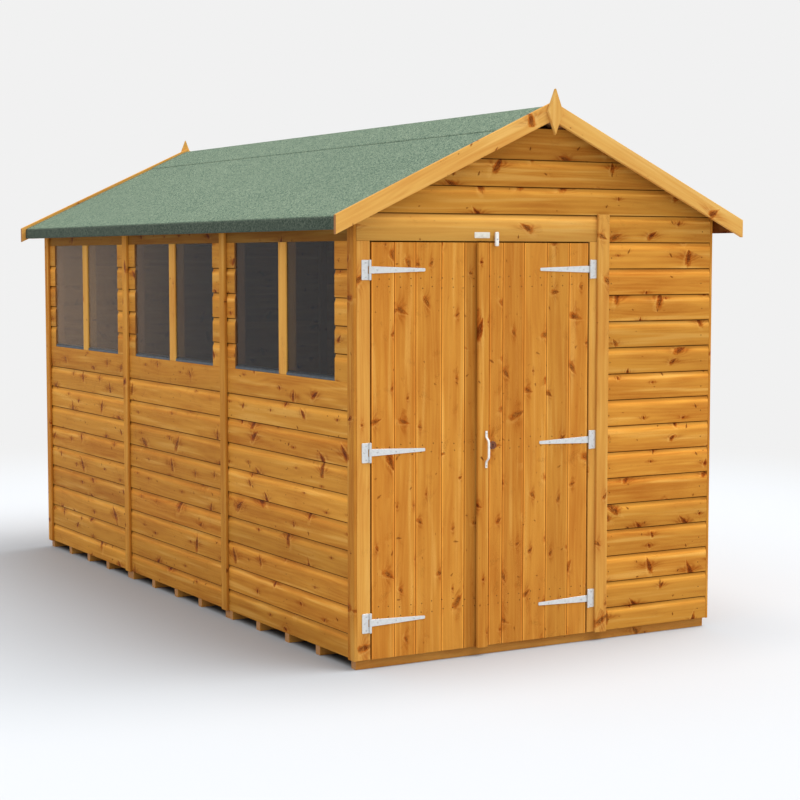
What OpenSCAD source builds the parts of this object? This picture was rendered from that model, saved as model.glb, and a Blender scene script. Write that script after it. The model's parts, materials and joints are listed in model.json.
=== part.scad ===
// Timber apex garden shed with three double-pane windows down one side,
// a pair of ledged doors at the left of the front gable, a shiplap panel
// beside them and a green felt roof with bargeboards and diamond finials.
// +X runs along the front from the window side, +Z is up and the front
// gable faces -Y. The origin is the middle of the footprint, on the ground.

/* [Building] */
// Width over the cladding, across the gable
body_w = 1745; // [1450:1:2150]
// Length over the cladding, from front to rear
body_l = 3596; // [2980:1:4400]
// Thickness of the shiplap cladding
clad_t = 12; // [8:0.5:20]
// Thickness of the studs and rails behind the cladding
frame_t = 39; // [28:1:60]
// Width of a framing stud
stud_w = 27; // [20:1:45]
// Width of the two studs that flank the doors
door_stud_w = 47; // [30:1:59]

/* [Boards] */
// Cover height of one shiplap board
board_pitch = 110.5; // [90:0.5:132]
// Height of the lowest board, which has no lap below it
first_board = 97; // [70:1:120]
// Boards between the lowest board and the window sill
boards_low = 9; // [6:1:11]
// Boards beside the window
boards_win = 5; // [3:1:6]
// Boards of the gable above the wall
boards_gable = 3; // [2:1:3]

/* [Floor] */
// Height of a floor bearer
bearer_h = 39; // [28:1:60]
// Width of a floor bearer
bearer_w = 38; // [28:1:55]
// Distance of the bearer ends from the cladding face
bearer_in = 3; // [0:1:20]
// Distance of the floor edge behind the front face
floor_in = 17; // [16:1:30]
// Thickness of the floor boards
floor_t = 12; // [8:1:22]

/* [Cover strips] */
// Width of the strips over the panel joints
strip_w = 58; // [35:1:75]
// Thickness of the cover strips
strip_t = 13; // [8:0.5:20]
// Width of the corner strips
corner_w = 55; // [35:1:75]

/* [Windows] */
// Width of the boarding between a window and its panel end
stub_w = 119; // [95:1:180]
// Shift of the windows towards the rear
win_shift = 10; // [0:1:14]
// Width of the mullion between two panes
mullion_w = 72; // [40:1:100]
// Distance of the glass behind the cladding face
glass_in = 19; // [13:0.5:24]
// Thickness of the glazing
glass_t = 3; // [2:0.5:6]
// Height of the glazing sill strip
sill_h = 20; // [12:1:40]

/* [Doors] */
// Width of the post at the left of the doors
post_w = 59; // [50:1:90]
// Width of the door opening
door_open_w = 1046; // [880:1:1250]
// Width from the door opening to the front panel joint
post_right_w = 63.5; // [55:0.5:90]
// Offset of the meeting line from the middle of the opening
meet_off = -10; // [-30:1:30]
// Gap between a leaf and its post
hinge_gap = 6.5; // [5:0.5:9]
// Gap between the two leaves
meet_gap = 5; // [5:0.5:9]
// Gap between the leaves and the header
head_gap = 5.5; // [5:0.5:9]
// Thickness of the door boards
door_t = 11; // [8:0.5:16]
// Height of a ledge behind the door boards
ledge_h = 90; // [60:1:120]
// Thickness of a ledge
ledge_t = 18; // [10:1:26]
// Height of the lowest ledge's middle above the ground
ledge_low = 225; // [150:1:400]
// Distance of the top ledge's middle below the top of the leaf
ledge_down = 157.5; // [100:0.5:300]
// Height of the middle ledge above the middle of the leaf
ledge_lift = 5; // [-60:1:60]

/* [Door hardware] */
// Height of the lowest hinge above the ground
hinge_low = 185; // [120:1:350]
// Distance of the top hinge below the top of the leaf
hinge_down = 107.5; // [60:0.5:250]
// Radius of a hinge barrel
barrel_r = 5.5; // [4:0.25:7]
// Distance of the hinge axis from the edge of the leaf
axis_in = 8.5; // [7:0.5:12]
// Height of a hinge plate
plate_h = 78; // [60:1:100]
// Width of a hinge plate, to the axis
plate_w = 35.5; // [25:0.5:50]
// Thickness of the hinge metal
metal_t = 3; // [2:0.25:4]
// Length of a strap from the edge of the leaf
strap_l = 243; // [150:1:300]
// Height of a strap at its root
strap_root = 28; // [20:1:36]
// Height of a strap at its tip
strap_tip = 13; // [8:1:20]
// Play between neighbouring barrel lengths
barrel_play = 0.5; // [0.3:0.1:1.5]
// Width of the overlap strip on the right leaf
overlap_w = 50; // [36:1:70]
// Thickness of the overlap strip
overlap_t = 18; // [12:0.5:24]
// Play between the overlap strip and the left leaf
overlap_play = 5; // [5:0.5:7]
// Height of the middle of the handle
handle_z = 845.5; // [700:0.5:1000]
// Overall height of the handle
handle_h = 150; // [110:1:190]
// Height of a handle foot
handle_foot = 29; // [20:1:40]
// Reach of the handle from the overlap strip
handle_out = 24; // [20:1:35]
// Thickness of the handle bar
handle_bar = 6; // [4:0.5:9]
// Width of the handle
handle_w = 10; // [8:0.5:20]
// Radius of the key escutcheon
key_r = 16; // [10:0.5:22]
// Height of the key escutcheon
key_z = 859; // [700:0.5:1000]
// Distance of the key escutcheon from the meeting line
key_in = 56; // [45:1:80]
// Distance of the turn button from the meeting line
button_in = 65; // [60:1:200]
// Height of the turn button's pivot above the header's lower edge
button_up = 9; // [8.5:0.5:20]
// Length of the turn button
button_l = 57; // [40:1:70]
// Width of the turn button
button_w = 17; // [12:0.5:17]
// Thickness of the turn button
button_t = 10; // [6:0.5:14]
// Distance of the turn button from the front face
button_out = 6; // [6:0.5:9]
// Width of the blank plate on the header
tag_w = 73; // [50:1:73]
// Height of the blank plate
tag_h = 24; // [15:1:40]

/* [Roof] */
// Pitch of the roof in degrees
pitch = 25; // [18:0.5:32]
// Height of the roof's underside above the wall's outer edge
roof_lift = 14; // [2:1:30]
// Thickness of the roof boards
roof_t = 12; // [8:0.5:20]
// Thickness of the felt
felt_t = 3; // [2:0.5:5]
// Overhang of the roof boards at the eaves
eave_over = 100; // [60:1:160]
// Overhang of the roof boards at the gables
gable_over = 49; // [20:1:100]
// Height of the eaves batten and of the felt turned down over it
eave_drop = 50; // [35:1:80]
// Width of the eaves batten
eave_w = 34; // [20:1:50]
// Half width of the felt capping over the ridge
cap_w = 226; // [100:1:320]
// Depth of the purlins under the roof boards
purlin_h = 38; // [25:1:60]

/* [Bargeboards] */
// Height of a bargeboard, measured upright
barge_h = 75; // [50:1:110]
// Thickness of a bargeboard
barge_t = 18; // [10:1:28]
// Reach of a bargeboard past the eaves
barge_over = 25; // [5:1:60]
// Height of a bargeboard's top edge above the felt
barge_up = 14.5; // [4:0.5:30]
// Half width of a finial
finial_w = 37; // [25:1:60]
// Height of the finial's top above the bargeboards' peak
finial_top = 51; // [30:1:90]
// Depth of the finial's bottom below the bargeboards' peak
finial_low = 134; // [90:1:180]
// Thickness of a finial
finial_t = 16; // [8:1:25]

/* [Hidden] */
$fn = 48;
fit = 0.3;                                   // seat of one piece on another
over = 1;                                    // reach of a cutting shape
hw = body_w / 2;
front = -body_l / 2;
rear = body_l / 2;
wall_low = bearer_h;
sill_z = wall_low + first_board + boards_low * board_pitch;
head_z = sill_z + boards_win * board_pitch;
wall_top = head_z + board_pitch;
floor_z = bearer_h + floor_t;
rail_h = stud_w + 1;
// side panels: the first starts behind the front frame
side_in = clad_t + frame_t + 3;
rear_in = 2 * clad_t;
panel_l = (body_l - side_in - rear_in) / 3;
function joint_y(i) = i == 0 ? front + clad_t + fit
    : i == 3 ? rear - clad_t - fit : front + side_in + i * panel_l;
function win_lo(i) = front + side_in + i * panel_l + stub_w + win_shift;
function win_hi(i) = front + side_in + (i + 1) * panel_l - stub_w + win_shift;
function win_mid(i) = (win_lo(i) + win_hi(i)) / 2;
// front: edges of the door opening, meeting line and panel joint
open_l = -hw + post_w;
open_r = open_l + door_open_w;
joint_x = open_r + post_right_w;
meet_x = (open_l + open_r) / 2 + meet_off;
leaf_l0 = open_l + hinge_gap;
leaf_l1 = meet_x - meet_gap / 2;
leaf_r0 = meet_x + meet_gap / 2;
leaf_r1 = open_r - hinge_gap;
leaf_top = head_z - head_gap;
leaf_mid = (wall_low - 0.5 + leaf_top) / 2;
ledge_z = [ledge_low, leaf_mid + ledge_lift, leaf_top - ledge_down];
hinge_z = [hinge_low, leaf_mid, leaf_top - hinge_down];
axis_l = leaf_l0 - axis_in;
axis_r = leaf_r1 + axis_in;
axis_y = front - barrel_r;
// roof: heights of the felt, boards and bargeboards at distance u
slope = tan(pitch);
felt_v = felt_t / cos(pitch);
roof_v = roof_t / cos(pitch);
eave_u = hw + eave_over;
apex_z = wall_top + roof_lift + hw * slope + felt_v + roof_v;
function felt_top(u) = apex_z - u * slope;
function roof_top(u) = felt_top(u) - felt_v;
function roof_under(u) = roof_top(u) - roof_v;
eave_z = roof_under(eave_u) - eave_drop + roof_v;
gable_top = wall_top + (boards_gable + 0.14) * board_pitch;
gable_cut = min(hw, max(20, (roof_under(0) - gable_top) / slope));
barge_z = apex_z + barge_up;
barge_u = eave_u + barge_over;
roof_y0 = front - gable_over;
roof_y1 = rear + gable_over;
// bearers: three floor panels, each with a bearer at both ends
floor_l = (body_l - floor_in - clad_t) / 3;
bearer_at = [0, 0.265, 0.51, 0.755, 1];

pine = [0.80, 0.56, 0.26];
pale = [0.90, 0.70, 0.38];
zinc = [0.86, 0.88, 0.89];
green = [0.45, 0.55, 0.46];

module box(x0, x1, y0, y1, z0, z1)
    translate([x0, y0, z0]) cube([x1 - x0, y1 - y0, z1 - z0]);
// outline of points [x, z], carried along Y from y0 to y1
module along_y(y0, y1, points)
    translate([0, y1, 0]) rotate([90, 0, 0])
        linear_extrude(y1 - y0) polygon(points);
// outline of points [x, y], carried up from z0 to z1
module upright(z0, z1, points)
    translate([0, 0, z0]) linear_extrude(z1 - z0) polygon(points);

module floor_bearers() color([0.62, 0.42, 0.20])
    for (p = [0:2], k = bearer_at) {
        y0 = front + floor_in + p * floor_l;
        y = y0 + k * (floor_l - bearer_w - fit);
        box(-hw + bearer_in, hw - bearer_in, y, y + bearer_w, 0, bearer_h);
    }
module floor_boards() color([0.72, 0.52, 0.28])
    box(-hw + clad_t + fit, hw - clad_t - fit, front + floor_in,
        rear - clad_t - fit, bearer_h, floor_z);

// one panel of the window wall: boards below, beside and over the window
module window_panel(i) color(pine) {
    y0 = joint_y(i) + (i == 0 ? 0 : fit);
    y1 = joint_y(i + 1) - (i == 2 ? 0 : fit);
    box(-hw, -hw + clad_t, y0, y1, wall_low, sill_z);
    box(-hw, -hw + clad_t, y0, win_lo(i), sill_z + fit, head_z - fit);
    box(-hw, -hw + clad_t, win_hi(i), y1, sill_z + fit, head_z - fit);
    box(-hw, -hw + clad_t, y0, y1, head_z, wall_top);
}
module left_wall_front() window_panel(0);
module left_wall_middle() window_panel(1);
module left_wall_rear() window_panel(2);
module right_wall() color(pine) for (i = [0:2])
    box(hw - clad_t, hw, joint_y(i) + (i == 0 ? 0 : fit),
        joint_y(i + 1) - (i == 2 ? 0 : fit), wall_low, wall_top);
module rear_wall() color(pine) {
    box(-hw, joint_x - fit, rear - clad_t, rear, wall_low, wall_top);
    box(joint_x + fit, hw, rear - clad_t, rear, wall_low, wall_top);
}
module front_wall() color(pine)
    box(joint_x + fit, hw, front, front + clad_t, wall_low, wall_top);
module gable(y0) color(pine) along_y(y0, y0 + clad_t, [
    [-hw, wall_top], [hw, wall_top], [hw, roof_under(hw) - fit],
    [gable_cut, roof_under(gable_cut) - fit],
    [-gable_cut, roof_under(gable_cut) - fit],
    [-hw, roof_under(hw) - fit]]);
module front_gable() gable(front);
module rear_gable() gable(rear - clad_t);
module door_header() color(pine)
    box(-hw, joint_x - fit, front, front + clad_t, head_z, wall_top);
module door_post_left() color(pale)
    box(-hw, open_l, front, front + clad_t, wall_low, head_z - fit);
module door_post_right() color(pale)
    box(open_r, joint_x - fit, front, front + clad_t, wall_low,
        head_z - fit);

// framing: every rail and stud is a piece of its own
rail_low = floor_z + rail_h;
plate_low = head_z + 69;
in_x = hw - clad_t;
module side_stud(s, y0, y1) {
    x0 = s > 0 ? in_x - frame_t : -in_x;
    box(x0, x0 + frame_t, y0, y1, rail_low + fit, plate_low - fit);
}
module side_rails(s) {
    x0 = s > 0 ? in_x - frame_t : -in_x;
    y0 = front + clad_t + frame_t + fit;
    y1 = rear - clad_t - frame_t - fit;
    box(x0, x0 + frame_t, y0, y1, floor_z, rail_low);
    box(x0, x0 + frame_t, y0, y1, plate_low, roof_under(in_x) - fit);
    for (i = [1, 2])
        side_stud(s, joint_y(i) - stud_w, joint_y(i) + stud_w);
}
module left_frame() color(pine) {
    side_rails(-1);
    for (i = [0:2]) {
        side_stud(-1, win_lo(i) - stud_w, win_lo(i));
        side_stud(-1, win_hi(i), win_hi(i) + stud_w);
        for (z = [sill_z - rail_h, head_z])
            box(-in_x, -in_x + frame_t, win_lo(i) + fit, win_hi(i) - fit,
                z, z + rail_h);
    }
}
module right_frame() color(pine) {
    side_rails(1);
    for (i = [0:2])
        side_stud(1, win_mid(i) - stud_w / 2, win_mid(i) + stud_w / 2);
}
// top rail and two rafters of a gable, in the space y0 to y0 + frame_t
module gable_frame(y0) {
    box(-in_x, in_x, y0, y0 + frame_t, head_z,
        roof_under(in_x) - purlin_h - fit);
    for (s = [-1, 1]) along_y(y0, y0 + frame_t, [
        [s * in_x, roof_under(in_x) - purlin_h],
        [s * in_x, roof_under(in_x) - fit],
        [s * 3, roof_under(3) - fit], [s * 3, roof_under(3) - purlin_h]]);
}
module end_stud(x0, x1, y0, top)
    box(x0, x1, y0, y0 + frame_t, floor_z, top);
module front_frame() color(pine) {
    y0 = front + clad_t;
    gable_frame(y0);
    end_stud(-in_x, open_l, y0, head_z - fit);
    end_stud(open_r, open_r + door_stud_w, y0, head_z - fit);
    end_stud(joint_x + fit, joint_x + stud_w, y0, head_z - fit);
    end_stud(in_x - frame_t, in_x, y0, head_z - fit);
    box(joint_x + stud_w + fit, in_x - frame_t - fit, y0, y0 + frame_t,
        floor_z, rail_low);
}
module rear_frame() color(pine) {
    y0 = rear - clad_t - frame_t;
    gable_frame(y0);
    end_stud(-in_x, -in_x + frame_t, y0, head_z - fit);
    end_stud(joint_x - stud_w, joint_x + stud_w, y0, head_z - fit);
    end_stud(in_x - frame_t, in_x, y0, head_z - fit);
    box(-in_x + frame_t + fit, joint_x - stud_w - fit, y0, y0 + frame_t,
        floor_z, rail_low);
    box(joint_x + stud_w + fit, in_x - frame_t - fit, y0, y0 + frame_t,
        floor_z, rail_low);
}

module window_mullions() color(pale) for (i = [0:2])
    box(-hw, -in_x + frame_t, win_mid(i) - mullion_w / 2,
        win_mid(i) + mullion_w / 2, sill_z + fit, head_z - fit);
// both panes of window i, as [y0, y1]
function panes(i) = [[win_lo(i) + fit, win_mid(i) - mullion_w / 2 - fit],
    [win_mid(i) + mullion_w / 2 + fit, win_hi(i) - fit]];
module window_sills() color([0.35, 0.42, 0.48])
    for (i = [0:2], p = panes(i))
        along_y(p[0], p[1], [[-hw + 2, sill_z + fit],
            [-hw + glass_in - fit, sill_z + fit],
            [-hw + glass_in - fit, sill_z + sill_h],
            [-hw + glass_in - 4, sill_z + sill_h],
            [-hw + 2, sill_z + sill_h / 2]]);
module window_glass() color([0.30, 0.29, 0.28, 0.6])
    for (i = [0:2], p = panes(i))
        box(-hw + glass_in, -hw + glass_in + glass_t, p[0], p[1],
            sill_z + fit, head_z - fit);

// cover strips: s is the side of the building they are on
module side_strips(s) color(pale) {
    x0 = s > 0 ? hw : -hw - strip_t;
    for (y = [[front, front + corner_w], [rear - corner_w, rear],
            [joint_y(1) - strip_w / 2, joint_y(1) + strip_w / 2],
            [joint_y(2) - strip_w / 2, joint_y(2) + strip_w / 2]])
        box(x0, x0 + strip_t, y[0], y[1], wall_low - 1.5, wall_top);
}
module left_strips() side_strips(-1);
module right_strips() side_strips(1);
module end_strips() color(pale) for (y = [front - strip_t, rear])
    box(joint_x - strip_w / 2, joint_x + strip_w / 2, y, y + strip_t,
        wall_low - 1.5, wall_top + 3);

// roof halves: s is -1 for the window side
module roof_half(s) color([0.70, 0.50, 0.28]) along_y(roof_y0, roof_y1, [
    [s * fit, roof_top(fit)], [s * eave_u, roof_top(eave_u)],
    [s * eave_u, roof_under(eave_u)], [s * fit, roof_under(fit)]]);
module roof_left() roof_half(-1);
module roof_right() roof_half(1);
module felt_half(s) color(green) along_y(roof_y0, roof_y1, [
    [s * fit, felt_top(fit)],
    [s * (eave_u + felt_t), felt_top(eave_u + felt_t)],
    [s * (eave_u + felt_t), eave_z], [s * eave_u, eave_z],
    [s * eave_u, roof_top(eave_u)], [s * fit, roof_top(fit)]]);
module felt_left() felt_half(-1);
module felt_right() felt_half(1);
module ridge_felt() color(green) along_y(roof_y0, roof_y1, [
    [0, apex_z + felt_v], [cap_w, felt_top(cap_w) + felt_v],
    [cap_w, felt_top(cap_w) + fit / 3], [0, apex_z + fit / 3],
    [-cap_w, felt_top(cap_w) + fit / 3],
    [-cap_w, felt_top(cap_w) + felt_v]]);
module purlin(s, u0, u1, y0, y1) along_y(y0, y1, [
    [s * u0, roof_under(u0) - fit], [s * u1, roof_under(u1) - fit],
    [s * u1, roof_under(u1) - purlin_h],
    [s * u0, roof_under(u0) - purlin_h]]);
module roof_battens() color([0.55, 0.36, 0.18]) for (s = [-1, 1]) {
    y0 = front + clad_t + frame_t + fit;
    y1 = rear - clad_t - frame_t - fit;
    along_y(roof_y0, roof_y1, [
        [s * (eave_u - eave_w), roof_under(eave_u - eave_w) - fit],
        [s * eave_u, roof_under(eave_u) - fit], [s * eave_u, eave_z],
        [s * (eave_u - eave_w), eave_z]]);
    purlin(s, 3, 3 + stud_w, y0, y1);
    purlin(s, in_x / 2, in_x / 2 + stud_w, y0, y1);
}
module bargeboard(s, y0) along_y(y0, y0 + barge_t, [
    [s * fit / 2, barge_z], [s * barge_u, barge_z - barge_u * slope],
    [s * barge_u, barge_z - barge_u * slope - barge_h],
    [s * fit / 2, barge_z - barge_h]]);
module left_bargeboards() color(pale)
    for (y = [roof_y0 - barge_t, roof_y1]) bargeboard(-1, y);
module right_bargeboards() color(pale)
    for (y = [roof_y0 - barge_t, roof_y1]) bargeboard(1, y);
module finials() color(pale)
    for (y = [roof_y0 - barge_t - finial_t, roof_y1 + barge_t])
        along_y(y, y + finial_t, [[0, barge_z + finial_top],
            [finial_w, barge_z - (finial_low - finial_top) / 2],
            [0, barge_z - finial_low],
            [-finial_w, barge_z - (finial_low - finial_top) / 2]]);

// hinges: s is 1 where the leaf lies towards +X of the axis, w is the
// width of the plate, which stops short of the cover strip on the right
module hinge_plate(x, z, s, w) translate([x, axis_y, z]) {
    half = strap_root / 2 + barrel_play;
    for (z0 = [-plate_h / 2, half]) translate([0, 0, z0])
        cylinder(r = barrel_r, h = plate_h / 2 - half);
    difference() {
        translate([s > 0 ? -w : 0, barrel_r - metal_t, -plate_h / 2])
            cube([w, metal_t, plate_h]);
        translate([s > 0 ? -barrel_r - 1.5 : -over,
            barrel_r - metal_t - over, -half])
            cube([barrel_r + 1.5 + over, metal_t + 2 * over, 2 * half]);
    }
}
module hinge_plates() color(zinc) for (z = hinge_z) {
    hinge_plate(axis_l, z, 1, min(plate_w, axis_l + hw));
    hinge_plate(axis_r, z, -1,
        min(plate_w, joint_x - strip_w / 2 - fit - axis_r));
}
module strap(x, z, s) translate([x, axis_y, z]) {
    reach = axis_in + strap_l;
    translate([0, 0, -strap_root / 2])
        cylinder(r = barrel_r, h = strap_root);
    translate([0, barrel_r, 0]) rotate([90, 0, 0])
        linear_extrude(metal_t) polygon([
            [0, -strap_root / 2], [s * (axis_in + 4), -strap_root / 2],
            [s * (reach - 6), -strap_tip / 2], [s * reach, -strap_tip / 4],
            [s * reach, strap_tip / 4], [s * (reach - 6), strap_tip / 2],
            [s * (axis_in + 4), strap_root / 2], [0, strap_root / 2]]);
}
module left_door_straps() color(zinc)
    for (z = hinge_z) strap(axis_l, z, 1);
module right_door_straps() color(zinc)
    for (z = hinge_z) strap(axis_r, z, -1);
module blank_plate() color([0.75, 0.68, 0.52])
    translate([meet_x + 2 - tag_w / 2, front - 1, head_z + 12.5])
        cube([tag_w, 1, tag_h]);

module leaf(x0, x1) color(pine)
    box(x0, x1, front, front + door_t, wall_low - 0.5, leaf_top);
module ledges(x0, x1) color(pine) for (z = ledge_z)
    box(x0 + 20, x1 - 20, front + door_t, front + door_t + ledge_t,
        z - ledge_h / 2, z + ledge_h / 2);
module left_door_boards() leaf(leaf_l0, leaf_l1);
module left_door_ledges() ledges(leaf_l0, leaf_l1);
module right_door_boards() leaf(leaf_r0, leaf_r1);
module right_door_ledges() ledges(leaf_r0, leaf_r1);
module overlap_strip() color(pale)
    upright(wall_low - 3, leaf_top, [
        [meet_x - overlap_w / 2, front - overlap_t],
        [meet_x + overlap_w / 2, front - overlap_t],
        [meet_x + overlap_w / 2, front], [leaf_r0, front],
        [leaf_r0, front - overlap_play],
        [meet_x - overlap_w / 2, front - overlap_play]]);
module door_handle() color([0.93, 0.93, 0.91]) {
    f = front - overlap_t;
    t = handle_bar;
    h = handle_h / 2;
    o = handle_out;
    g = h - handle_foot - 12;                // half of the straight grip
    m = h - handle_foot / 2;                 // middle of a foot
    x = meet_x + overlap_w / 4 - handle_w / 2;
    translate([x, f, handle_z]) rotate([90, 0, 90])
        linear_extrude(handle_w) polygon([
            [0, h], [-3, h], [-3, m + t / 2], [-o + 2, g + t],
            [-o, g + t - 5], [-o, -g - t + 5], [-o + 2, -g - t],
            [-3, -m - t / 2], [-3, -h], [0, -h], [0, handle_foot - h],
            [-3, handle_foot - h], [-o + t, -g], [-o + t, g],
            [-3, h - handle_foot], [0, h - handle_foot]]);
}
module key_escutcheon() color([0.45, 0.28, 0.14])
    translate([meet_x + key_in, front, key_z]) rotate([90, 0, 0])
        difference() {
            cylinder(r = key_r, h = 2.5);
            translate([0, 3, -over]) cylinder(r = 3.5, h = 2.5 + 2 * over);
            translate([-1.8, -9, -over]) cube([3.6, 12, 2.5 + 2 * over]);
        }
module turn_button() color(pale)
    translate([meet_x + button_in, front, head_z + button_up]) {
        translate([-button_w / 2, -button_out - button_t, -button_l / 2])
            cube([button_w, button_t, button_l]);
        translate([0, -fit, 0]) rotate([90, 0, 0])
            cylinder(r = button_w / 3, h = button_out + 1);
    }

floor_bearers();
floor_boards();
left_wall_front();
left_wall_middle();
left_wall_rear();
right_wall();
rear_wall();
front_wall();
front_gable();
rear_gable();
door_header();
door_post_left();
door_post_right();
left_frame();
right_frame();
front_frame();
rear_frame();
window_mullions();
window_sills();
window_glass();
left_strips();
right_strips();
end_strips();
roof_left();
roof_right();
felt_left();
felt_right();
ridge_felt();
roof_battens();
left_bargeboards();
right_bargeboards();
finials();
hinge_plates();
blank_plate();
left_door_boards();
left_door_ledges();
left_door_straps();
right_door_boards();
right_door_ledges();
right_door_straps();
overlap_strip();
door_handle();
key_escutcheon();
turn_button();
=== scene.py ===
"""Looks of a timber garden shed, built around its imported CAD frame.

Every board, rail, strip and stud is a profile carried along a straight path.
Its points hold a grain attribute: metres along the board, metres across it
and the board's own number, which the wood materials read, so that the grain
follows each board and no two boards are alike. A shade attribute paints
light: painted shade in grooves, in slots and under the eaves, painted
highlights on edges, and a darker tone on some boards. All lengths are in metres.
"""
import json
import math

import bpy
import numpy as np
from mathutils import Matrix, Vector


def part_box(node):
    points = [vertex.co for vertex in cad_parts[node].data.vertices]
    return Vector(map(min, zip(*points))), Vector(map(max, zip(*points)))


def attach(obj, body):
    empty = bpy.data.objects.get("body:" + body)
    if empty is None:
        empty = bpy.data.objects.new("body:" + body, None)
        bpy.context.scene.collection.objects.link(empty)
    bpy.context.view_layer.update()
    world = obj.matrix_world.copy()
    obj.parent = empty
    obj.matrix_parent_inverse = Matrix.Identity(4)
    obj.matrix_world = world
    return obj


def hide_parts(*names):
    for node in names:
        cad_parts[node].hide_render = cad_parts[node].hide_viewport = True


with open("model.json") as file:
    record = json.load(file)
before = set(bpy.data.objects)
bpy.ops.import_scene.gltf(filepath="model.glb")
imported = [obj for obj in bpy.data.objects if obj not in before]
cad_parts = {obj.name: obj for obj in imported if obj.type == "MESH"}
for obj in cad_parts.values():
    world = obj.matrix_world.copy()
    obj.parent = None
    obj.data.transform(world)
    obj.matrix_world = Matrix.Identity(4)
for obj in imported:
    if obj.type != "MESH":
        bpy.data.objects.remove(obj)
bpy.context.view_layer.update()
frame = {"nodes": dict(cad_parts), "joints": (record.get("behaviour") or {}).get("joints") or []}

X, Y, Z = np.eye(3)
PITCH = math.radians(25)             # slope of the roof
FRONT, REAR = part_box("front_wall")[0].y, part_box("rear_wall")[1].y
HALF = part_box("right_wall")[1].x     # half the width over the cladding
WALL_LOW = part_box("right_wall")[0].z
WALL_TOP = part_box("right_wall")[1].z
FIRST, COVER = 0.097, 0.1105         # lowest board's height, cover of the rest
SAME = 0.003                         # heights this near are the same height
RAIL = 0.13                          # a wall solid lower than this is a rail
PLAY = 0.0004                        # a board's play at each end
HINGE_T = 0.0028                     # thickness of a hinge's sheet
HINGE_EDGE = 0.0007                  # its softened edge
PLATE_GAP = 0.0075                   # from a hinge's axis to its plate
ROW_EDGES = WALL_LOW + np.r_[0, FIRST + COVER * np.arange(20)]
WALLS = {                            # nodes, axis faced along, direction
    "window_side": (["left_wall_front", "left_wall_middle",
                     "left_wall_rear"], 0, -1),
    "plain_side": (["right_wall"], 0, 1),
    "rear": (["rear_wall"], 1, 1), "front": (["front_wall"], 1, -1)}


def corners(node):
    """A node's lowest and highest corner as arrays."""
    low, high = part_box(node)
    return np.array(low), np.array(high)


def points_of(node):
    """A node's points, one row each."""
    mesh = frame["nodes"][node].data
    points = np.empty(len(mesh.vertices) * 3, np.float32)
    mesh.vertices.foreach_get("co", points)
    return points.reshape(-1, 3).astype(float)


def solids(node):
    """Boxes of a node's separate solids. Each point starts with its own
    label, and the lowest label of a triangle spreads to its three points
    until nothing changes; a solid is the points that share a label."""
    mesh = frame["nodes"][node].data
    points = points_of(node)
    triangles = np.empty(len(mesh.loops), np.int32)
    mesh.loops.foreach_get("vertex_index", triangles)
    same = np.unique(np.round(points, 5), axis=0, return_inverse=True)[1]
    same = same.reshape(-1)
    triangles = same[triangles].reshape(-1, 3)
    label = np.arange(same.max() + 1)
    while True:
        spread = label.copy()
        lowest = np.repeat(label[triangles].min(1), 3)
        np.minimum.at(spread, triangles.ravel(), lowest)
        if (spread == label).all():
            break
        label = spread
    part = label[same]
    return [(points[part == k].min(0), points[part == k].max(0))
            for k in np.unique(part)]


# ---------------------------------------------------------------- meshes

def link(name, data):
    """An object for the data, in the scene."""
    made = bpy.data.objects.new(name, data)
    bpy.context.scene.collection.objects.link(made)
    return made


def finish_piece(name, verts, faces, body, materials, stands_for=(),
                 face_material=None, smooth=False, attributes=None):
    """Makes an object from points and faces, and says what it rides on."""
    mesh = bpy.data.meshes.new(name)
    mesh.from_pydata(np.asarray(verts, float).tolist(), [], faces)
    for material in materials:
        mesh.materials.append(material)
    if face_material is not None:
        mesh.polygons.foreach_set(
            "material_index", np.asarray(face_material, np.int32))
    mesh.polygons.foreach_set("use_smooth", np.full(len(faces), smooth))
    for key, values in (attributes or {}).items():
        values = np.asarray(values, np.float32)
        kind = "FLOAT_VECTOR" if values.ndim == 2 else "FLOAT"
        field = "vector" if values.ndim == 2 else "value"
        layer = mesh.attributes.new(key, kind, "POINT")
        layer.data.foreach_set(field, values.ravel())
    mesh.update()
    piece = link(name, mesh)
    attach(piece, body)
    if stands_for:
        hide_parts(*stands_for)


def dress(node, material):
    """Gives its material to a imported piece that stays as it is."""
    materials = frame["nodes"][node].data.materials
    materials.clear()
    materials.append(material)


def tube_faces(rings, around, flip=False):
    """Faces of rings of points joined in order: quads between rings and a
    many-sided face at each end. Rings run counter-clockwise seen from the
    end; flip turns every face round."""
    i, k = np.meshgrid(np.arange(rings - 1), np.arange(around), indexing="ij")
    a, b = i * around + k, i * around + (k + 1) % around
    quads = np.stack([a, b, b + around, a + around], -1).reshape(-1, 4)
    faces = quads.tolist() + [
        list(range(around))[::-1],
        list(range((rings - 1) * around, rings * around))]
    return [f[::-1] for f in faces] if flip else faces


def signed_area(outline):
    """Half the sum of cross products of neighbouring points."""
    x, y = outline[:, 0], outline[:, 1]
    return 0.5 * np.sum(x * np.roll(y, -1) - y * np.roll(x, -1))


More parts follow.
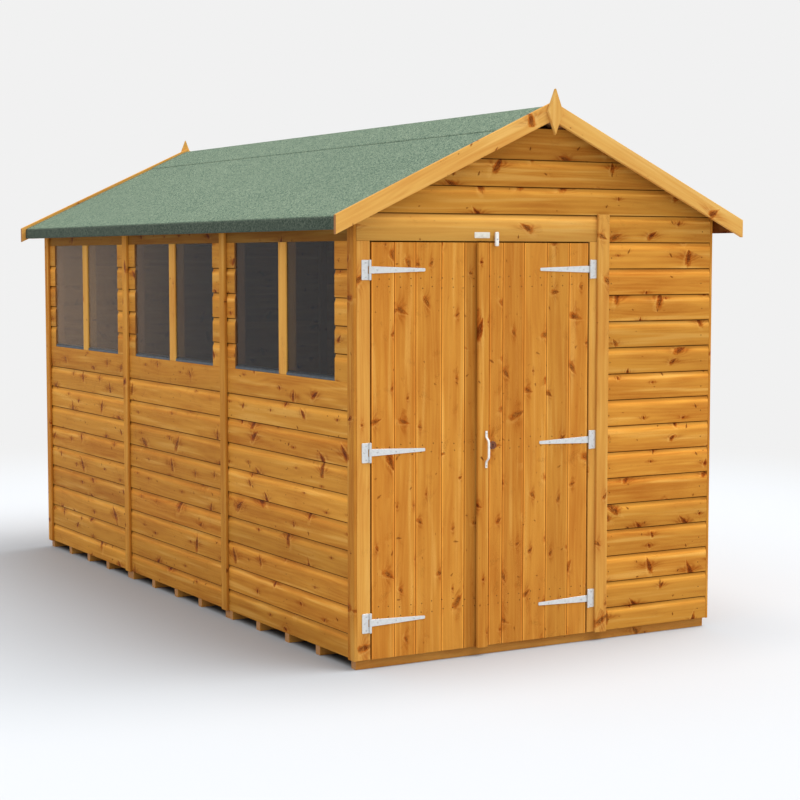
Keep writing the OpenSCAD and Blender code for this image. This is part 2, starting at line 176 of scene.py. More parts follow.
class Timber:
    """Collects boards and turns them into one mesh with a grain attribute."""

    count = 0                        # boards made so far, for their numbers

    def __init__(self):
        self.verts, self.grain, self.shade = [], [], []
        self.faces, self.kinds, self.total = [], [], 0

    def add(self, base, along, across, out, profile, low, high, bevel=0.0008,
            reach=None, turned=False, ends=1):
        """One board: point = base + along*t + across*a + out*o, where (a, o)
        is the profile and t runs from low to high. A third column of the
        profile paints light on it: painted shade up to 1 in a groove, a painted
        highlight down to -1 on an edge. The end sections are drawn in by bevel.
        reach gives the two ends as a function of a.
        turned swaps the grain to run along a; ends is the cap material."""
        profile = np.asarray(profile, float)
        outline = profile[:, :2]
        shade = profile[:, 2] if profile.shape[1] > 2 else 0 * outline[:, 0]
        along, across, out = (np.asarray(v, float)
                              for v in (along, across, out))
        share = np.array([0, bevel, high - low - bevel, high - low])
        share = (share / (high - low))[:, None]
        middle = (outline.min(0) + outline.max(0)) / 2
        half = np.maximum((outline.max(0) - outline.min(0)) / 2, 1e-6)
        draw = 1 - np.minimum(bevel / half, 0.4)
        inner = middle + (outline - middle) * draw
        rings = np.stack([inner, outline, outline, inner])
        a, o = rings[..., 0], rings[..., 1]
        start, stop = reach(a) if reach else (low, high)
        run = start + (stop - start) * share + 0 * a
        points = (np.asarray(base, float) + run[..., None] * along
                  + a[..., None] * across + o[..., None] * out)
        Timber.count += 1
        number = np.full(a.size, float(Timber.count))
        g = [run.ravel(), a.ravel() + 0.31 * o.ravel(), number]
        if turned:
            g = [a.ravel(), o.ravel() + run.ravel() * 0.31, number]
        frame_sign = np.linalg.det(np.stack([across, out, along]))
        flip = frame_sign * signed_area(outline) < 0
        faces = tube_faces(4, len(outline), flip)
        self.faces += [[v + self.total for v in f] for f in faces]
        self.kinds += [0] * (len(faces) - 2) + [ends, ends]
        self.verts.append(points.reshape(-1, 3))
        self.grain.append(np.stack(g, -1))
        self.shade.append(np.tile(shade, 4))
        self.total += a.size

    def plank(self, low, high, radius=0.0015, bevel=0.0012):
        """A plank that fills a box, with its edges rounded and its grain
        along the longest side."""
        size = high - low
        order = np.argsort(-size, kind="stable")
        length, width, thick = size[order]
        radius = min(radius, 0.4 * thick)
        self.add(low, *np.eye(3)[order], rounded(width, thick, radius), 0,
                 length, bevel=min(bevel, 0.3 * thick))

    def slope(self, low, high, radius):
        """A board down the roof's slope with upright ends: a rounded
        section carried along the slope, its height measured upright."""
        s = 1 if low[0] + high[0] > 0 else -1
        width = high[0] - low[0]
        tall = high[2] - low[2] - width * math.tan(PITCH)
        start = (low[0] if s > 0 else high[0], low[1], high[2] - tall)
        self.add(start, (s, 0, -math.tan(PITCH)), Z, Y,
                 rounded(tall, high[1] - low[1], radius), 0, width)

    def build(self, name, body, materials, stands_for=()):
        """Makes the boards gathered so far into one piece."""
        finish_piece(
            name, np.concatenate(self.verts), self.faces, body, materials,
            stands_for, self.kinds,
            attributes={"grain": np.concatenate(self.grain),
                        "shade": np.concatenate(self.shade)})


def boards(name, nodes, draw, materials, slot, body="shed"):
    """One piece of the boards that draw(timber, low, high) adds for every
    solid of the nodes."""
    timber = Timber()
    for node in nodes:
        for low, high in solids(node):
            draw(timber, low, high)
    timber.build(name, body, materials, nodes)


def rounded(width, thick, radius, steps=3):
    """Outline of a rectangle whose corners are quarter circles."""
    turn = np.linspace(0, math.pi / 2, steps)
    quarter = np.stack([np.cos(turn), np.sin(turn)], -1) * radius
    spin = [(1, 1), (-1, 1), (-1, -1), (1, -1)]
    mids = [(width - radius, thick - radius), (radius, thick - radius),
            (radius, radius), (width - radius, radius)]
    parts = []
    for k, (sx, sy) in enumerate(spin):
        arc = quarter * (sx, sy)
        parts.append(np.array(mids[k]) + (arc if k % 2 == 0 else arc[::-1]))
    return np.concatenate(parts)


def centred(width, height, radius, steps=3):
    """The same outline with its middle at the origin."""
    return rounded(width, height, radius, steps) - (width / 2, height / 2)


def shiplap(height, thick, lap=True):
    """Section of one board (height, depth, painted light): a flat face with a small
    lower lip, then a cove that falls by depth * sin(t * pi/2), and a
    narrow slot under the next board. Without lap the top is square. The third
    column puts painted shade at the lip and in the slot, and a painted highlight
    on the arris, fading down the face below it, and on a square top's edge."""
    cove, depth, slot = 0.0215, 0.0050, 0.0038
    face = [(0, 0, 0.3), (0, thick - 0.0012, 0.3), (0.0012, thick, 0.16)]
    if not lap:
        return np.array(face + [
            (height * 0.6, thick, -0.1), (height - 0.001, thick, -0.5),
            (height, thick - 0.001, -0.3), (height, 0, 0)])
    t = np.linspace(0, 1, 6)
    hollow = np.stack([
        height - cove + t * (cove - slot),
        thick - depth * np.sin(t * math.pi / 2), t * 1.35 - 1.0], -1)
    deep = thick - 0.0095
    return np.concatenate([
        face, [(height * 0.45, thick, 0.05), (height * 0.68, thick, -0.35)],
        hollow, [(height - slot, deep, 1), (height, deep, 1),
                 (height, 0, 0)]])


def shell(outer, inner):
    """Closed surface between two grids of points of the same shape: the
    outer grid, the inner one turned over, and strips round the border."""
    rows, cols = outer.shape[:2]
    index = np.arange(rows * cols).reshape(rows, cols)

    def quads(a, b, c, d):
        return np.stack([a, b, c, d], -1).reshape(-1, 4)

    top = quads(index[:-1, :-1], index[1:, :-1], index[1:, 1:],
                index[:-1, 1:])
    low = top[:, ::-1] + rows * cols
    rim = np.concatenate([index[:, 0], index[-1, 1:], index[-2::-1, -1],
                          index[0, -2:0:-1]])
    nxt = np.roll(rim, -1)
    edge = quads(nxt, rim, rim + rows * cols, nxt + rows * cols)
    points = np.concatenate([outer.reshape(-1, 3), inner.reshape(-1, 3)])
    faces = np.concatenate([top, low, edge]).tolist()
    return points, upright_faces(points, faces)


def circle(count):
    """Angles spaced evenly round a whole turn."""
    return np.linspace(0, 2 * math.pi, count, endpoint=False)


def lathe(radii, heights, around=24):
    """Points (r cos, r sin, h) for each station of a profile; the first and
    last stations close on the axis with a many-sided face."""
    turn = circle(around)
    r, h = np.asarray(radii)[:, None], np.asarray(heights)[:, None]
    points = np.stack([r * np.cos(turn), r * np.sin(turn),
                       h + 0 * turn], -1)
    return points.reshape(-1, 3), tube_faces(len(radii), around)


def gather(parts):
    """Joins (points, faces) pairs into one pair."""
    total, verts, faces = 0, [], []
    for points, polygons in parts:
        verts.append(points)
        faces += [[v + total for v in f] for f in polygons]
        total += len(points)
    return np.concatenate(verts), faces


def plate(outline, thick, bevel):
    """An outline (x, z) given depth along -Y from y = 0 to -thick, with its
    outer edge drawn in by bevel over the last bevel of depth."""
    outline = np.asarray(outline, float)
    if signed_area(outline) < 0:
        outline = outline[::-1]
    middle = (outline.min(0) + outline.max(0)) / 2
    half = (outline.max(0) - outline.min(0)) / 2
    inner = middle + (outline - middle) * (1 - np.minimum(bevel / half, 0.3))
    rings = [(outline, 0), (outline, bevel - thick), (inner, -thick)]
    points = np.concatenate([
        np.stack([o[:, 0], np.full(len(o), y), o[:, 1]], -1)
        for o, y in rings])
    return points, tube_faces(3, len(outline))


def smooth_line(line):
    """Chaikin's rule, three times over: points a quarter and three quarters
    along every segment, and the two ends."""
    for _ in range(3):
        a, b = line[:-1], line[1:]
        line = np.concatenate([line[:1], np.stack(
            [0.75 * a + 0.25 * b, 0.25 * a + 0.75 * b], 1).reshape(-1, 2),
            line[-1:]])
    return line


def sweep_flat(line, half_width, half_thick, x, around=16):
    """A rounded bar carried along a line (y, z) at a given x. Its section is
    a superellipse: half_width along X and half_thick across the line."""
    tangent = np.gradient(line, axis=0)
    tangent /= np.linalg.norm(tangent, axis=1)[:, None]
    turn = circle(around)
    wide = np.sign(np.cos(turn)) * np.abs(np.cos(turn)) ** 0.6
    deep = np.sign(np.sin(turn)) * np.abs(np.sin(turn)) ** 0.6
    normal = np.stack([-tangent[:, 1], tangent[:, 0]], -1)
    off = deep[None, :, None] * half_thick * normal[:, None]
    points = np.empty((len(line), around, 3))
    points[..., 0] = x + wide * half_width
    points[..., 1:] = line[:, None] + off
    return points.reshape(-1, 3), tube_faces(len(line), around)


def upright_faces(points, faces):
    """Turns every face round if the closed surface's volume is negative."""
    volume = 0.0
    for f in faces:
        fan = points[list(f)]
        volume += np.sum(np.cross(fan[1:-1] - fan[0], fan[2:] - fan[0])
                         @ fan[0])
    return faces if volume > 0 else [f[::-1] for f in faces]


def assemble(name, parts, body, material, stands_for=(),
             smooth=False):
    """Joins closed parts, each turned to face outwards, into one piece."""
    points, faces = gather([(p, upright_faces(p, f)) for p, f in parts])
    finish_piece(name, points, faces, body, [material], stands_for,
                 smooth=smooth)


# ------------------------------------------------------------- materials

def paint(colour):
    """A colour in everyday 0-255 numbers as the linear one nodes use."""
    c = np.array(colour) / 255
    return (*np.where(c < 0.04045, c / 12.92, ((c + 0.055) / 1.055) ** 2.4),
            1.0)


class Value:
    """A socket whose sums, products and powers add Math nodes."""

    def __init__(self, net, socket):
        self.net, self.socket = net, socket

    def _do(self, operation, first, second):
        return self.net.out("ShaderNodeMath", {"operation": operation},
                            {0: first, 1: second})

    def __add__(self, other): return self._do("ADD", self, other)
    def __radd__(self, other): return self._do("ADD", other, self)
    def __sub__(self, other): return self._do("SUBTRACT", self, other)
    def __rsub__(self, other): return self._do("SUBTRACT", other, self)
    def __mul__(self, other): return self._do("MULTIPLY", self, other)
    def __rmul__(self, other): return self._do("MULTIPLY", other, self)
    def __truediv__(self, other): return self._do("DIVIDE", self, other)
    def __pow__(self, other): return self._do("POWER", self, other)
    def __rpow__(self, other): return self._do("POWER", other, self)
    def __lt__(self, other): return self._do("LESS_THAN", self, other)
    def __gt__(self, other): return self._do("GREATER_THAN", self, other)


class Net:
    """A material's nodes, each made by one call."""

    def __init__(self, name):
        self.material = bpy.data.materials.new(name)
        self.material.use_nodes = True
        self.tree = self.material.node_tree
        self.shader = self.tree.nodes["Principled BSDF"]

    def node(self, kind, settings=None, sockets=None):
        """Any node: its settings first, then its sockets' values or links."""
        made = self.tree.nodes.new(kind)
        for key, value in (settings or {}).items():
            if key == "stops":
                ramp = made.color_ramp.elements
                while len(ramp) < len(value):
                    ramp.new(0.5)
                for stop, (place, colour) in zip(ramp, value):
                    stop.position, stop.color = place, colour
            else:
                setattr(made, key, value)
        for key, value in (sockets or {}).items():
            if isinstance(value, Value):
                self.tree.links.new(value.socket, made.inputs[key])
            else:
                made.inputs[key].default_value = value
        return made

    def out(self, kind, settings=None, sockets=None, output=0):
        made = self.node(kind, settings, sockets)
        return Value(self, made.outputs[output])

    def split(self, vector):
        made = self.node("ShaderNodeSeparateXYZ", None, {0: vector})
        return [Value(self, made.outputs[k]) for k in range(3)]

    def join(self, x, y, z=0.0):
        return self.out("ShaderNodeCombineXYZ", None, {0: x, 1: y, 2: z})

    def noise(self, vector, scale=1.0, detail=2.0, rough=0.5):
        return self.out("ShaderNodeTexNoise", None, {
            "Vector": vector, "Scale": scale, "Detail": detail,
            "Roughness": rough})

    def mix(self, factor, first, second):
        return self.out("ShaderNodeMix", {"data_type": "RGBA"},
                        {0: factor, 6: first, 7: second}, 2)

    def maths(self, operation, value):
        """A Math node that takes one number."""
        return self.out("ShaderNodeMath", {"operation": operation},
                        {0: value})

    def clamp(self, value):
        return self.out("ShaderNodeClamp", None, {"Value": value})

    def cells(self, vector, scale):
        """Three chances for each cell of a cell pattern."""
        made = self.node("ShaderNodeTexVoronoi", None,
                         {"Vector": vector, "Scale": scale})
        return self.split(Value(self, made.outputs["Color"]))

    def dim(self, colour, factor):
        """A colour times a number."""
        return self.out("ShaderNodeVectorMath", {"operation": "SCALE"},
                        {0: colour, "Scale": factor})

    def step(self, value, start, end):
        """0 below start and 1 above end, with a smooth rise."""
        return self.out("ShaderNodeMapRange",
                        {"interpolation_type": "SMOOTHSTEP"},
                        {"Value": value, "From Min": start, "From Max": end})

    def place(self):
        return self.out("ShaderNodeTexCoord", None, None, 3)

    def attribute(self, name, output=1):
        return self.out("ShaderNodeAttribute", {"attribute_name": name},
                        None, output)

    def bump(self, height, strength, distance):
        return self.out("ShaderNodeBump", None, {
            "Strength": strength, "Distance": distance, "Height": height})

    def set(self, **sockets):
        for key, value in sockets.items():
            socket = self.shader.inputs[key.replace("_", " ")]
            if isinstance(value, Value):
                self.tree.links.new(value.socket, socket)
            else:
                socket.default_value = value
        return self.material


def wood(name, gold, red, dark, pale, knots=0.5, rough=0.55, grime=0.0,
         spread=0.16, axis=None):
    """Planed softwood. Growth lines are a sine of the distance across the
    board, bent by slow noise and ringed round the knots. Knots are points
    of a cell pattern: a leaf shape that leans over the board, wide at one
    end and pointed at the other, in a halo drawn out along the grain.
    Every board's number shifts the pattern and its tone. With axis, the
    grain runs along that Object axis."""
    net = Net(name)
    gold, red, dark, pale = map(paint, (gold, red, dark, pale))
    if axis is None:
        along, across, number = net.split(net.attribute("grain"))
    else:
        xyz = net.split(net.place())
        along = xyz[axis]
        across = xyz[(axis + 1) % 3] + xyz[(axis + 2) % 3] * 0.83
        number = net.maths("FLOOR", across * 9.0)
    chance = net.out("ShaderNodeTexWhiteNoise", {"noise_dimensions": "1D"},
                     {"W": number}, 1)
    r1, r2, r3 = net.split(chance)
    u, v = along + r1 * 31.0, across + r2 * 17.0
    slow = net.noise(net.join(u * 1.1, v * 11.0, number * 3.7), 1.0, 2.0)
    ragged = net.noise(net.join(u * 85.0, v * 85.0, number), 1.0, 2.0)

    def knot_layer(ku, kv, share, small, large, seed):
        """Knots on a grid of ku by kv cells a metre, in a share of them."""
        cells = net.node(
            "ShaderNodeTexVoronoi", {"voronoi_dimensions": "2D"},
            {"Vector": net.join(u * ku + seed, v * kv), "Scale": 1.0})
        at = net.split(Value(net, cells.outputs["Position"]))
        c1, c2, c3 = net.split(Value(net, cells.outputs["Color"]))
        du, dv = (at[0] - seed) / ku - u, at[1] / kv - v
        lean = (c3 - 0.5) * 2.6
        cos, sin = net.maths("COSINE", lean), net.maths("SINE", lean)
        # long axis p leans over the board, short axis q is across it
        p, q = dv * cos + du * sin, du * cos - dv * sin
        size = small + c1 * c1 * (large - small)
        length = size * (1.1 + c1 * 2.1)
        taper = 1.15 + p / length * 0.8
        away = (((p / length) ** 2.0 + (q / (size * taper * 0.8)) ** 2.0)
                ** 0.5 + (ragged - 0.5) * 0.8)
        there = c2 < share
        core = net.step(away, 1.22, 0.66) * there
        heart = core * net.step(away, 0.95, 0.30)
        edge = net.step(away, 1.9, 1.05) * there * (q > 0.0) - core
        ring = du * du + dv * dv * 2.2
        halo = there * 2.718 ** (ring / (size * size) * -0.16)
        tail = there * 2.718 ** (dv * dv / (size * size) * -1.2
                                 - du * du / (size * size) * 0.05)
        inner = net.noise(net.join(p * 45.0, q * 330.0, number), 1.0, 2.0)
        return core, edge, halo, tail, inner * 0.9 + 0.1 - heart * 0.30

    core, edge, halo, tail, inner = knot_layer(4.8, 8.6, knots, 0.0056, 0.0170,
                                             0.0)
    pin, _, pin_halo, pin_tail, _ = knot_layer(
        9.0, 14.0, knots * 0.5, 0.0014, 0.0042, 7.7)
    phase = v * 300.0 + slow * 46.0 + (halo + pin_halo * 0.3) * 13.0
    lines = net.maths("SINE", phase) * 0.5 + 0.5
    fibre = net.noise(net.join(u * 12.0, v * 460.0, number), 1.0, 2.0)
    bands = net.noise(net.join(u * 1.7, v * 34.0, number * 2.3), 1.0, 2.0)
    blotch = net.noise(net.join(u * 3.3, v * 11.0, number * 1.9), 1.0, 3.0)
    warm = (net.step(blotch, 0.36, 0.70) * 0.30 + (r3 - 0.5) * 0.40
            + lines * (0.18 + halo * 0.42)
            + net.step(bands, 0.40, 0.66) * 0.28 + (fibre - 0.5) * 0.6
            + tail * 0.80 + pin_tail * 0.3 - 0.06)
    colour = net.mix(net.clamp(warm), gold, red)
    sap = net.step(bands, 0.45, 0.28) * 0.6 + edge * 0.36
    colour = net.mix(sap * (1 - core), colour, pale)
    rusty = (*(np.array(red[:3]) * (1.06, 0.76, 0.42)), 1.0)
    deep = net.mix(net.step(inner, 0.20, 0.62), dark, rusty)
    colour = net.mix(core * 0.92, colour, deep)
    colour = net.mix(pin * 0.8 + tail * lines * 0.22, colour, dark)
    # painted light from the boards' shade attribute: above 0 it is painted shade in grooves,
    # slots and under the eaves, and on some boards a darker tone; below 0 it is a painted
    # highlight on edges
    shade = net.attribute("shade", 2)
    groove = net.step(shade, 0.05, 1.0)
    wear_and_highlight = net.step(shade, 0.0, -1.0)
    tone = ((1 - spread * 0.5 + r1 * spread + (fibre - 0.5) * 0.16)
            * (1 - groove * 0.68 + wear_and_highlight * 0.36))
    if grime:
        dirt = net.noise(net.place(), 9.0, 4.0, 0.6)
        tone = tone - net.step(dirt, 0.45, 0.75) * grime
    colour = net.dim(colour, tone)
    height = lines * 0.25 + fibre * 0.5 - core * 0.06
    return net.set(
        Base_Color=colour, Roughness=rough + (fibre - 0.5) * 0.2 - core * 0.1,
        Specular_IOR_Level=0.03, Normal=net.bump(height, 0.25, 0.0006))


def end_grain(name, light, dark, rough=0.7):
    """Sawn board end: arcs of growth rings and saw marks."""
    net = Net(name)
    x, y, z = net.split(net.place())
    wide = net.noise(net.join(x * 9.0, y * 9.0, z * 9.0), 1.0, 2.0)
    ring = net.maths("SINE", (x + y + z * 0.8) * 900.0 + wide * 26.0)
    marks = net.noise(net.join(x * 60.0, y * 60.0, z * 420.0), 1.0, 2.0)
    fac = ring * 0.22 + 0.35 + (marks - 0.5) * 0.7
    return net.set(
        Base_Color=net.mix(net.clamp(fac), paint(light), paint(dark)),
        Roughness=rough, Normal=net.bump(marks, 0.4, 0.0008))


def felt(name, low, mid, high, drop):
    """Mineral roofing felt: granules are small cells of uneven brightness
    over slow mottling. The last argument is the painted shade of the
    turned-down edge: a factor on its tone there."""
    net = Net(name)
    place = net.place()
    grains = net.node("ShaderNodeTexVoronoi", None,
                      {"Vector": place, "Scale": 460.0})
    fleck = net.split(Value(net, grains.outputs["Color"]))[0]
    coarse = net.cells(place, 205.0)[1]
    mottle = net.noise(place, 1.6, 5.0, 0.6)
    speck = fleck * 0.62 + coarse * 0.52 + mottle * 0.14 - 0.14
    colour = net.out("ShaderNodeValToRGB", {"stops": [
        (0.12, paint(low)), (0.5, paint(mid)), (0.92, paint(high))]},
        {0: speck})
    # painted shade on the face turned down over the eaves
    side = net.attribute("drop", 2)
    colour = net.dim(colour, 1 - side * (1 - drop))
    bump = net.bump(Value(net, grains.outputs["Distance"]) * -1.0
                    + coarse * 0.3, 0.6, 0.0012)
    return net.set(Base_Color=colour, Roughness=0.93, Normal=bump)


def metal(name, tint, rough, wear_and_highlight, metallic=1.0):
    """Plated metal: fine brushing, spangle and faint dulling."""
    net = Net(name)
    place = net.place()
    x, y, z = net.split(place)
    brush = net.noise(net.join(x * 60.0, y * 60.0, z * 900.0), 1.0, 2.0)
    cloud = net.noise(place, 70.0, 3.0, 0.6)
    spangle = net.cells(place, 260.0)[0]
    fac = net.step(cloud, 0.45, 0.8) * 0.5 + spangle * 0.18
    return net.set(
        Base_Color=net.mix(fac, paint(tint), paint(wear_and_highlight)), Metallic=metallic,
        Specular_IOR_Level=0.5 if metallic else 0.08,
        Roughness=rough + cloud * 0.16 + (brush - 0.5) * 0.1,
        Normal=net.bump(brush, 0.08, 0.0002))


def coated(name, tint, dull, rough=0.35):
    """Paint or plastic: slight unevenness of tone and an orange-peel skin."""
    net = Net(name)
    place = net.place()
    cloud = net.noise(place, 55.0, 3.0, 0.6)
    peel = net.noise(place, 900.0, 1.0)
    return net.set(
        Base_Color=net.mix(net.step(cloud, 0.4, 0.75), paint(tint),
                           paint(dull)),
        Roughness=rough + (cloud - 0.5) * 0.2,
        Normal=net.bump(peel, 0.08, 0.0002))


def glass(name):
    """Clear sheet, thin and glossy, with faint smears. Its near-black colour,
    laid over the inside, is painted shade of a dark inside; towards the rear
    the colour turns a lighter brown and the sheet lets more through."""
    net = Net(name)
    x, y, z = net.split(net.place())
    smear = net.noise(net.join(x * 8.0, y * 8.0, z * 2.2), 1.0, 3.0)
    # painted shade over the inside, a lighter brown towards the rear
    towards_rear = net.step(y, -0.5, 2.3)
    return net.set(
        Base_Color=net.mix(towards_rear, (0.016, 0.016, 0.016, 1),
                           (0.33, 0.21, 0.12, 1)),
        Alpha=0.36 - towards_rear * 0.06 + smear * 0.06, IOR=1.45,
        Specular_IOR_Level=0.24,
        Roughness=0.04 + net.step(smear, 0.5, 0.8) * 0.10)


BOARD = wood("stained_boards", (204, 142, 56), (166, 94, 28), (88, 30, 5),
             (222, 168, 84), knots=0.80, spread=0.24)
DOOR = wood("stained_door_boards", (204, 140, 56), (170, 94, 28),
            (88, 30, 5), (222, 166, 82), knots=0.90)
TRIM = wood("planed_trim", (220, 164, 78), (192, 122, 50), (98, 38, 8),
            (228, 178, 98), knots=0.50, spread=0.12)
INNER = wood("bare_framing", (186, 134, 82), (156, 100, 58), (88, 46, 22),
             (200, 150, 100), knots=0.30, rough=0.7)
ROUGH = wood("sawn_bearers", (204, 146, 70), (174, 108, 44), (90, 42, 14),
             (214, 160, 86), knots=0.4, rough=0.8, grime=0.12)
FLOOR = wood("floor_boards", (190, 142, 86), (160, 106, 58), (90, 48, 22),
             (200, 156, 104), knots=0.35, rough=0.65)
ALONG_Y = wood("roof_timbers", (150, 98, 50), (122, 72, 34), (64, 32, 14),
               (160, 110, 62), knots=0.3, rough=0.75, axis=1)
# darker than the other boards: painted shade, so that the gap under the barge boards looks dark
ROOF = wood("boards_under_felt", (120, 74, 36), (92, 52, 22), (50, 24, 10),
            (130, 84, 44), knots=0.3, rough=0.75)
ENDS = end_grain("board_ends", (176, 116, 56), (112, 62, 26))
SAWN = end_grain("bearer_ends", (196, 142, 84), (146, 92, 46))
PALE = wood("pale_planed_trim", (222, 172, 90), (200, 134, 60),
            (104, 40, 8), (232, 188, 110), knots=0.60, spread=0.10)
FELT = felt("green_felt", (44, 72, 56), (91, 118, 96), (158, 172, 146), 0.34)
ZINC = metal("bright_zinc", (222, 224, 224), 0.30, (184, 186, 188), 0.55)
SCREW = metal("screw_heads", (214, 214, 214), 0.28, (150, 148, 146))
NAIL = metal("nail_heads", (62, 30, 12), 0.6, (40, 20, 10), 0.0)
WHITE = coated("white_paint", (236, 234, 228), (218, 216, 208))
BROWN = coated("brown_escutcheon", (120, 62, 26), (92, 44, 18))
# painted shade: the dark disc behind the keyhole
DARK = coated("keyhole_shade", (24, 16, 12), (16, 11, 8), 0.8)
TAG = coated("blank_tag", (226, 222, 210), (206, 200, 186), 0.4)
SILL = coated("glazing_strip", (58, 70, 80), (42, 50, 58), 0.5)
GLASS = glass("window_panes")
FRAMING = ([INNER, ENDS], "framing")


# --------------------------------------------------------------- timber

def clad(name, nodes, axis, sign):
    """Rows of shiplap over every solid of the nodes. axis is the one the
    wall faces along and sign its direction. A board that ends below a
    window or at a side wall's top has a square top."""
    run, out = (Y, X * sign) if axis == 0 else (X, Y * sign)
    side = 1 - axis

    def rows(timber, low, high):
        thick = high[axis] - low[axis]
        edges = ROW_EDGES[(ROW_EDGES > low[2] - SAME)
                          & (ROW_EDGES < high[2] + SAME)]
        for z0, z1 in zip(edges[:-1], edges[1:]):
            last = axis == 0 and z1 > high[2] - SAME
            base = np.zeros(3)
            base[axis], base[2] = (low if sign > 0 else high)[axis], z0
            section = shiplap(z1 - z0, thick, lap=not last)
            if last and high[2] - low[2] < RAIL:
                section = rounded(z1 - z0, thick, 0.0015)
                # painted shadow of the eaves on the rail above the windows
                section = np.c_[section, np.full(len(section), 0.74)]
            elif last and high[2] < WALL_TOP - 0.1:
                section[:, 2] += 0.16          # shaded board under a window
            timber.add(base, run, Z, out, section,
                       low[side] + PLAY, high[side] - PLAY)

    boards(name, nodes, rows, [BOARD, ENDS], "cladding")


for wall, (nodes, axis, sign) in WALLS.items():
    clad("boards_" + wall, nodes, axis, sign)


def gable_boards(name, node, sign):
    """Boards of a gable, cut to the roof's slope: at height z the half
    length is the lesser of the wall's half width and what the slope leaves,
    HALF - (z - corner) / tan(pitch)."""
    points = points_of(node)
    corner = points[points[:, 0] > HALF - 1e-4, 2].max()

    def rows(timber, low, high):
        inner = low[1] if sign > 0 else high[1]
        edges = [WALL_TOP, WALL_TOP + COVER, WALL_TOP + 2 * COVER, high[2]]
        for z0, z1 in zip(edges[:-1], edges[1:]):
            def reach(a, z0=z0):
                half = HALF - (z0 + a - corner) / math.tan(PITCH)
                half = np.minimum(half, HALF) - PLAY
                return -half, half
            section = shiplap(z1 - z0, high[1] - low[1], lap=z1 < high[2])
            # painted shade, deepening towards the top under the barge boards
            section[:, 2] += 0.34 * (z0 - WALL_TOP) / (high[2] - WALL_TOP)
            timber.add((0, inner, z0), X, Z, Y * sign, section, -HALF, HALF,
                       reach=reach)

    boards(name, [node], rows, [BOARD, ENDS], "cladding")


def planks(name, nodes, radius, materials, slot="trim", body="shed"):
    """One rounded plank for every solid of the nodes."""
    boards(name, nodes, lambda timber, low, high:
           timber.plank(low, high, radius), materials, slot, body)


def vee_board(width, thick, chamfer):
    """Section of a matchboard (across, depth, painted light): square back, both
    front edges chamfered, with painted shade at the foot of the chamfer and a
    painted highlight on its upper edge."""
    foot, mid = thick - chamfer * 1.1, thick - chamfer * 0.7
    soft = chamfer + 0.007
    half = [(0.0, foot, 0.85), (chamfer * 0.25, mid, 0.4),
            (chamfer, thick, -1.0), (soft, thick, 0)]
    other = [(width - x, o, k) for x, o, k in half]
    return np.array([(0, 0, 0), (width, 0, 0)] + other + half[::-1])


def floor_boards(timber, low, high):
    """Tongued floor boards side by side along Y, with chamfered edges."""
    wide, long, thick = high - low
    edges = np.linspace(low[0], high[0], round(wide / 0.112) + 1)
    for x0, x1 in zip(edges[:-1], edges[1:]):
        timber.add((x0, low[1], low[2]), Y, X, Z,
                   vee_board(x1 - x0, thick, 0.0012), 0, long)


def door(name, body, shares, shaded=()):
    """A leaf of upright matchboards. shares are the boards' widths as parts
    of the leaf, from its left edge; shaded lists the boards that get painted
    shadow of the meeting strip."""
    def leaf(timber, low, high):
        wide, thick, tall = high - low
        x = low[0]
        for place, width in enumerate(np.array(shares) / sum(shares) * wide):
            section = vee_board(width, thick, 0.0030)
            # painted shadow of the meeting strip on these boards
            if place in shaded:
                section[:, 2] += 0.34
            timber.add((x, high[1], low[2]), Z, X, -Y, section, 0, tall)
            x += width

    boards(name, [body + "_boards"], leaf, [DOOR, ENDS], "door_boards", body)


def roof_boards(timber, low, high):
    """Boards under the felt, laid along Y, side by side down the slope."""
    thick = 0.012
    s = 1 if high[0] > HALF else -1
    down = np.array([s * math.cos(PITCH), 0, -math.sin(PITCH)])
    out = np.array([s * math.sin(PITCH), 0, math.cos(PITCH)])
    length = (high[0] - low[0]) / math.cos(PITCH)
    top = np.array([low[0] if s > 0 else high[0], low[1], high[2]])
    edges = np.linspace(0, length, round(length / 0.118) + 1)
    for d0, d1 in zip(edges[:-1], edges[1:]):
        # the eaves board keeps inside the roof's upright outer edge
        last = d1 > length - 0.001
        width = d1 - d0 - (thick * math.tan(PITCH) if last else 0)
        timber.add(top + down * d0 - out * thick, Y, down, out,
                   rounded(width - 0.0015, thick - 0.0004, 0.001), 0,
                   high[1] - low[1])


def header_board(timber, low, high):
    """The board over the doors: the same section as the walls' boards."""
    section = shiplap(high[2] - low[2], high[1] - low[1])
    section[:, 2] += 0.28
    timber.add((low[0], high[1], low[2]), X, Z, -Y, section, 0,
               high[0] - low[0])


def gable_framing(timber, low, high):
    """A stud or rail as a plank, or a rafter along the slope."""
    if high[2] < WALL_TOP + 0.1 or high[2] - low[2] < 0.2:
        timber.plank(low, high, 0.002)
    else:
        timber.slope(low, high, 0.002)


def finial(timber, low, high):
    """A diamond with a bevelled outer edge; its grain runs upright."""
    tall, half = high[2] - low[2], (high[0] - low[0]) / 2
    kite = np.array([(0, 0), (tall / 2, half), (tall, 0), (tall / 2, -half)])
    timber.add((0, low[1], low[2]), Y, Z, X, kite, 0, high[1] - low[1],
               bevel=0.0025, turned=True, ends=0)


def overlap_strip(timber, low, high):
    """The upright strip on the right leaf, with rounded outer edges and a
    rebate at the back that clears the left leaf."""
    points = points_of("overlap_strip")
    step = points[points[:, 1] > high[1] - 1e-4, 0].min() - low[0]
    back = high[1] - points[points[:, 0] < low[0] + 1e-4, 1].max()
    width, thick, tall = high - low
    bend = rounded(width, thick, 0.0035, 5)
    front = bend[bend[:, 1] > thick / 2]
    front = front[np.argsort(-front[:, 0], kind="stable")]
    outline = np.concatenate([
        [(step, 0), (width, 0)], front, [(0, back), (step, back)]])
    timber.add((low[0], high[1], low[2]), Z, X, -Y, outline, 0, tall)


